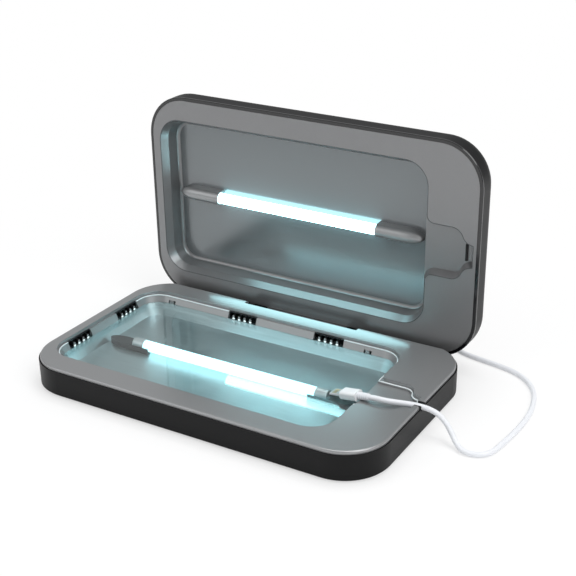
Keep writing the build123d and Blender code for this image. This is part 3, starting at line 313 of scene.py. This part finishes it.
def add_tube(bm, path, radius, closed=True, section=8):
    """Round tube along a path, joined to its own start or capped."""
    loops = []
    count = len(path)
    for i, point in enumerate(path):
        before = path[i - 1] if closed or i else point
        after = path[(i + 1) % count] if closed or i < count - 1 else point
        along = (after - before).normalized()
        side = along.cross(Y_AXIS if abs(along.y) < STEEP else Z_AXIS).normalized()
        up = side.cross(along)
        loops.append([
            bm.verts.new(point + (side * math.cos(a) + up * math.sin(a)) * radius)
            for a in (2 * math.pi * j / section for j in range(section))
        ])
    for here, after in zip(loops, loops[1:] + loops[:1] if closed else loops[1:]):
        for j in range(section):
            k = (j + 1) % section
            bm.faces.new((here[j], after[j], after[k], here[k]))
    if not closed:
        bm.faces.new(loops[0])
        bm.faces.new(reversed(loops[-1]))


WELD = 0.002 * MM
LEVEL_SLACK = 0.02 * MM
FLAT_COS = 0.999           # a face whose normal is this near to outward is flat
SHORTEST_LOOP = 8          # points; this leaves out the two strips of ledge between the vents
SHORTEST_EDGE = 0.05 * MM


def rim_loops(node, level, axis, outward):
    """Loops of a node's edges where its flat face at a level meets its walls, longest first."""
    mesh = NODES[node].data
    bm = bmesh.new()
    bm.from_mesh(mesh)
    bmesh.ops.remove_doubles(bm, verts=bm.verts, dist=WELD)
    bm.normal_update()
    links = {}
    for edge in bm.edges:
        if len(edge.link_faces) != 2:
            continue
        if any(abs(v.co[axis] - level) > LEVEL_SLACK for v in edge.verts):
            continue
        flat = [face.normal.dot(outward) > FLAT_COS for face in edge.link_faces]
        if flat[0] != flat[1]:
            a, b = edge.verts
            links.setdefault(a.index, []).append(b.index)
            links.setdefault(b.index, []).append(a.index)
    places = {v.index: v.co.copy() for v in bm.verts}
    bm.free()
    loops = []
    left = set(links)
    while left:
        start = left.pop()
        loop = [start]
        here = start
        while True:
            ahead = [i for i in links[here] if i in left]
            if not ahead:
                break
            here = ahead[0]
            left.discard(here)
            loop.append(here)
        if len(loop) > SHORTEST_LOOP:
            loops.append([places[i] for i in loop])
    loops.sort(key=lambda loop: -sum((loop[i] - loop[i - 1]).length for i in range(len(loop))))
    return loops


def evened(loop, step):
    """The same closed loop with points no further apart than the step."""
    out = []
    for i, here in enumerate(loop):
        after = loop[(i + 1) % len(loop)]
        if (after - here).length < SHORTEST_EDGE:
            continue
        count = max(1, round((after - here).length / step))
        out += [here.lerp(after, j / count) for j in range(count)]
    return out


# ------------------------------------------------------------------ crease round the lid's recess, in a darker grey: painted shade
CREASE_R = 0.22 * MM
CREASE_STEP = 3.0 * MM
lid_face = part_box("lid_panel")[0][1]
deck_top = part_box("base_deck")[1][2]
mouth_loop = rim_loops("lid_panel", lid_face, 1, -Y_AXIS)[1]
bm = bmesh.new()
add_tube(bm, evened(mouth_loop, CREASE_STEP), CREASE_R)
piece("recess_crease_shade", bm, crease_shade_paint, "lid")

# ------------------------------------------------------------------ bead on the tray's ledge, near-white as a painted highlight
LEDGE_DROP = 2.1 * MM
BEAD_R = 0.38 * MM
BEAD_STEP = 2.0 * MM
INNER_GAP = 0.6 * MM       # an edge this far from the mouth, seen from above, is the ledge's inner one
SHORTEST_RUN = 3           # points


def ledge_runs(even, inner):
    """Unbroken runs of a closed loop's inner points, without the very short ones."""
    turn = next(i for i in range(len(even)) if inner[i] and not inner[i - 1])
    runs = [[]]
    for p, is_inner in zip(even[turn:] + even[:turn], inner[turn:] + inner[:turn]):
        if is_inner:
            runs[-1].append(p)
        elif runs[-1]:
            runs.append([])
    return [run for run in runs if len(run) > SHORTEST_RUN]


mouth_points = [p for loop in rim_loops("base_deck", deck_top, 2, Z_AXIS) for p in evened(loop, MM)]
tree = KDTree(len(mouth_points))
for i, p in enumerate(mouth_points):
    tree.insert((p.x, p.y, 0.0), i)
tree.balance()
bm = bmesh.new()
for loop in rim_loops("base_deck", deck_top - LEDGE_DROP, 2, Z_AXIS):
    even = evened(loop, BEAD_STEP)
    inner = [tree.find((p.x, p.y, 0.0))[2] > INNER_GAP for p in even]
    if any(inner) and not all(inner):
        for run in ledge_runs(even, inner):
            add_tube(bm, run, BEAD_R, closed=False)
# The bead is near-white: a painted highlight on the ledge's inner edge.
piece("tray_ledge_highlight_bead", bm, ledge_highlight_paint, "base")

# ------------------------------------------------------------------ ribs before the vents
RIBS = 4
VENT_LENGTH = 19.8 * MM
RIB_PITCH = 4.0 * MM
RIB_SIZE = Vector((1.35, 0.5, 2.5)) * MM
RIB_EDGE = 0.18 * MM
FOOT_SIZE = Vector((1.5, 0.7, 1.0)) * MM
FOOT_EDGE = 0.3 * MM
FOOT_STAND = 0.15 * MM     # the foot, glowing as a painted highlight, stands this far before its rib
RIB_LIFT = 0.1 * MM


def vent_ribs(node, along, inward):
    """Pale rounded ribs, each with a foot that glows as a painted highlight of the lamp's light, on
    each of the two vents in a node.
    """
    low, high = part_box(node)
    run = X_AXIS if along == 0 else Y_AXIS
    inward = Vector(inward)
    face = low if inward[1 - along] < 0 else high
    ribs = bmesh.new()
    feet = bmesh.new()
    axes = (run, inward, Z_AXIS)
    for centre in (low[along] + VENT_LENGTH / 2, high[along] - VENT_LENGTH / 2):
        for i in range(RIBS):
            place = Vector((0, 0, 0))
            place[along] = centre + (i - (RIBS - 1) / 2) * RIB_PITCH
            place[1 - along] = face[1 - along]
            place.z = low[2] + RIB_SIZE.z / 2 + RIB_LIFT
            add_pad(ribs, place, axes, RIB_SIZE, RIB_EDGE)
            place.z = low[2] + FOOT_SIZE.z / 2 + RIB_LIFT
            add_pad(feet, place + inward * FOOT_STAND, axes, FOOT_SIZE, FOOT_EDGE, 4)
    piece(node + "_rib_caps", ribs, materials["grey_deck"], "base")
    # The feet glow: a painted highlight, not a lamp.
    piece(node + "_rib_glow_feet", feet, rib_glow_paint, "base")


vent_ribs("back_vents", 0, (0, -1, 0))
vent_ribs("side_vents", 1, (1, 0, 0))

# ------------------------------------------------------------------ screw heads under the base
HEAD_R = 2.7 * MM
CROSS_LONG, CROSS_WIDE, CROSS_DEEP = 2.9, 0.7, 0.3
CROSS_SIZES = ((CROSS_LONG, CROSS_WIDE, CROSS_DEEP), (CROSS_WIDE, CROSS_LONG, CROSS_DEEP))
CROSS_LIFT = 0.05 * MM
CROSS_EDGE = 0.08 * MM
low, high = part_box("case_screws")
crosses = bmesh.new()
for x in (low[0] + HEAD_R, high[0] - HEAD_R):
    for y in (low[1] + HEAD_R, high[1] - HEAD_R):
        for size in CROSS_SIZES:
            add_pad(crosses, Vector((x, y, low[2] + CROSS_LIFT)), (X_AXIS, Y_AXIS, Z_AXIS),
                    Vector(size) * MM, CROSS_EDGE, 2)
piece("case_screw_crosses", crosses, materials["black_plastic"], "base")

# ------------------------------------------------------------------ charging cord
# Its route, in millimetres, is the solid's own: out of the plug, over the rim, round to the back
CORD_START = [(81.650, -7.005, 17.373), (85.570, -7.397, 18.067)]
CORD_ROUTE = [
    (91.0, -6.9, 17.9), (96.3, -4.8, 17.3), (101.3, -2.6, 16.8), (106.0, -1.3, 16.45),
    (112.0, -1.0, 16.4), (117.9, -0.7, 15.0), (123.0, -1.2, 11.7), (127.1, -2.9, 7.8),
    (130.6, -5.4, 4.5), (134.9, -8.4, 2.2), (140.4, -9.2, 1.5), (145.9, -7.3, 1.5),
    (149.7, -2.9, 1.5), (151.2, 4.5, 1.5), (152.3, 14.5, 1.5), (153.6, 27.0, 1.5),
    (153.5, 42.8, 1.5), (151.1, 57.0, 1.5), (146.5, 69.3, 1.5), (138.9, 78.7, 1.5),
    (129.8, 84.5, 1.5), (118.8, 87.4, 1.5), (107.8, 89.3, 1.5), (98.4, 90.9, 1.5),
    (90.3, 93.6, 1.5), (83.6, 99.4, 1.5), (77.6, 105.6, 1.5), (71.7, 109.8, 1.9),
    (66.3, 110.8, 2.6), (61.2, 109.3, 3.7), (57.2, 105.5, 4.9),
]
CORD_END = [(55.0, 98.0, 5.6), (55.0, 94.0, 5.6)]
CORD_RADIUS = 1.5 * MM
route = [Vector(p) * MM for p in CORD_START + CORD_ROUTE + CORD_END]
curve = bpy.data.curves.new("charging_cord_jacket", "CURVE")
curve.dimensions = "3D"
curve.bevel_depth = CORD_RADIUS
curve.bevel_resolution = 6
curve.use_fill_caps = True
line = curve.splines.new("NURBS")
line.points.add(len(route) - 1)
for point, place in zip(line.points, route):
    point.co = (*place, 1.0)
line.order_u = 3
line.use_endpoint_u = True
line.resolution_u = 10
cord = bpy.data.objects.new("charging_cord_jacket", curve)
bpy.context.collection.objects.link(cord)
curve.materials.append(materials["white_cord"])
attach(cord, "base")
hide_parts("charging_cord")

# Ribs of the strain reliefs, in line with the cord where it leaves each plug
BOOT_R = 2.0 * MM
BOOT_END_R = 1.8 * MM
BOOT_LENGTH = 7.0 * MM
BOOT_RINGS = 5
RING_THICK = 0.22 * MM
FIRST_RING = 0.6           # pitches from the cord's end to the first ring
EXTRA_PITCHES = 0.4        # the boot is this many pitches longer than one for each ring
for name, end, before in (("phone_plug", route[0], route[1]), ("usb_plug", route[-1], route[-2])):
    back = (end - before).normalized()
    bm = bmesh.new()
    for i in range(BOOT_RINGS):
        share = (i + FIRST_RING) / (BOOT_RINGS + EXTRA_PITCHES)
        radius = BOOT_END_R + (BOOT_R - BOOT_END_R) * share
        add_ring(bm, end + back * BOOT_LENGTH * share, back, radius, RING_THICK)
    piece(name + "_boot_ribs", bm, materials["white_cord"], "base")

# Contacts on both faces of the plug's tip
heading = (route[0] - route[1]).normalized()
across = heading.cross(Z_AXIS).normalized()
upward = across.cross(heading)
PLUG_LENGTH = 10.4 * MM
TIP_H = 1.5 * MM
CONTACTS = 8
CONTACT_PITCH = 0.64
CONTACT_REACH = 4.0        # from the tip's root to the contacts' middle
CONTACT_SIZE = Vector((0.34, 2.6, 0.06)) * MM
CONTACT_EDGE = 0.02 * MM
bm = bmesh.new()
tip_start = route[0] + heading * (BOOT_LENGTH + PLUG_LENGTH)
for side in (1, -1):
    for i in range(CONTACTS):
        sideways = across * (i - (CONTACTS - 1) / 2) * CONTACT_PITCH * MM
        place = tip_start + heading * CONTACT_REACH * MM + sideways
        add_pad(bm, place + upward * side * TIP_H / 2, (across, heading, upward), CONTACT_SIZE,
                CONTACT_EDGE, 1)
contacts = piece("phone_plug_contacts", bm, gold, "base", smooth=False)

# ------------------------------------------------------------------ floor, world and lights
FLOOR_HALF = 6.0
FLOOR_WHITE = (0.93, 0.93, 0.93, 1.0)
NEAR_WHITE = 0.55          # share of plain white close to the object, as the camera sees it
FADE_FROM, FADE_TO = 0.10, 0.34


def floor():
    """Pale floor that keeps the shadow near the object and is plain white beyond."""
    s = FLOOR_HALF
    mesh = bpy.data.meshes.new("floor")
    mesh.from_pydata([(-s, -s, 0), (s, -s, 0), (s, s, 0), (-s, s, 0)], [], [(0, 1, 2, 3)])
    obj = bpy.data.objects.new("floor", mesh)
    bpy.context.collection.objects.link(obj)
    m = Mat("floor_white")
    matt = m.add("ShaderNodeBsdfDiffuse", {"Color": FLOOR_WHITE}).outputs[0]
    plain = m.add("ShaderNodeEmission", {"Color": (1, 1, 1, 1), "Strength": 1.0}).outputs[0]
    length = m.add("ShaderNodeVectorMath", {0: m.coords}, operation="LENGTH").outputs["Value"]
    far = m.spread(length, NEAR_WHITE, 1.0, FADE_FROM, FADE_TO)
    seen = m.math("MULTIPLY", far, m.add("ShaderNodeLightPath").outputs["Is Camera Ray"])
    mesh.materials.append(m.surface(m.mix(seen, matt, plain)))


floor()

WORLD_LEVEL = 0.50
world = bpy.data.worlds.new("studio")
bpy.context.scene.world = world
world.use_nodes = True
nodes = world.node_tree.nodes
links = world.node_tree.links
nodes.clear()
wout = nodes.new("ShaderNodeOutputWorld")
soft = nodes.new("ShaderNodeBackground")
soft.inputs["Color"].default_value = (0.98, 0.99, 1.0, 1.0)
soft.inputs["Strength"].default_value = WORLD_LEVEL
white = nodes.new("ShaderNodeBackground")
white.inputs["Color"].default_value = (1, 1, 1, 1)
white.inputs["Strength"].default_value = 1.0
path = nodes.new("ShaderNodeLightPath")
mix = nodes.new("ShaderNodeMixShader")
links.new(path.outputs["Is Camera Ray"], mix.inputs[0])
links.new(soft.outputs[0], mix.inputs[1])
links.new(white.outputs[0], mix.inputs[2])
links.new(mix.outputs[0], wout.inputs["Surface"])


def softbox(name, place, aim, size, energy):
    """Rectangular area light turned to a point, of a size in metres and an energy in watts."""
    lamp = bpy.data.lights.new(name, "AREA")
    lamp.shape = "RECTANGLE"
    lamp.size, lamp.size_y = size
    lamp.energy = energy
    obj = bpy.data.objects.new(name, lamp)
    obj.location = place
    obj.rotation_euler = (Vector(aim) - Vector(place)).to_track_quat("-Z", "Y").to_euler()
    bpy.context.collection.objects.link(obj)


softbox("key", (1.1, -0.35, 1.25), (0.0, 0.0, 0.05), (1.0, 1.0), 10.0)
softbox("fill", (-1.0, -1.1, 0.9), (0.0, 0.0, 0.05), (1.2, 1.0), 4.0)
softbox("top", (0.0, 0.3, 1.6), (0.0, 0.0, 0.0), (1.2, 0.8), 11.0)

# Stands for the lid lamp's light on the deck's rear strip. It belongs to no piece and stays put
# when the lid moves. With the lid shut it is in the lid's rear wall, its edge about 1 mm past the
# outside, and a faint glow shows along the hinge.
SPILL_WATTS = 0.0072
SPILL_ACROSS, SPILL_HIGH = 140.0 * MM, 7.0 * MM
SPILL_ASIDE = 14.0 * MM    # right of the lamp's middle
SPILL_BEFORE = 5.0 * MM    # before the lid's face
SPILL_ABOVE = 4.0 * MM     # above the deck
SPILL_TILT = math.radians(-80.0)
spill = bpy.data.lights.new("spill", "AREA")
spill.shape = "ELLIPSE"
spill.size, spill.size_y = SPILL_ACROSS, SPILL_HIGH
spill.energy = SPILL_WATTS
spill.color = LAMP_COLOUR[:3]
spill_place = bpy.data.objects.new("spill", spill)
lamp_low, lamp_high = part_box("lid_lamp")
lamp_middle = (lamp_low[0] + lamp_high[0]) / 2
spill_place.location = (lamp_middle + SPILL_ASIDE, lid_face - SPILL_BEFORE, deck_top + SPILL_ABOVE)
spill_place.rotation_euler = (SPILL_TILT, 0.0, 0.0)
spill_place.visible_camera = False
bpy.context.collection.objects.link(spill_place)

# ------------------------------------------------------------------ camera
# Fitted to the photograph's edges with an upright lid, which takes a small shift of the picture
LENS, SENSOR = 73.657, 36.0
SHIFT_X, SHIFT_Y = -0.0636, 0.0280
CAMERA_PLACE = (0.32576, -0.49269, 0.32823)
CAMERA_TILT, CAMERA_TURN = math.radians(64.73), math.radians(29.19)
view = bpy.data.cameras.new("camera")
view.sensor_width = SENSOR
view.lens = LENS
view.shift_x = SHIFT_X
view.shift_y = SHIFT_Y
view.clip_start = 0.01
view.clip_end = 50.0
camera = bpy.data.objects.new("camera", view)
camera.location = CAMERA_PLACE
camera.rotation_euler = (CAMERA_TILT, 0.0, CAMERA_TURN)
bpy.context.collection.objects.link(camera)
bpy.context.scene.camera = camera
bpy.context.scene.view_settings.view_transform = "Standard"
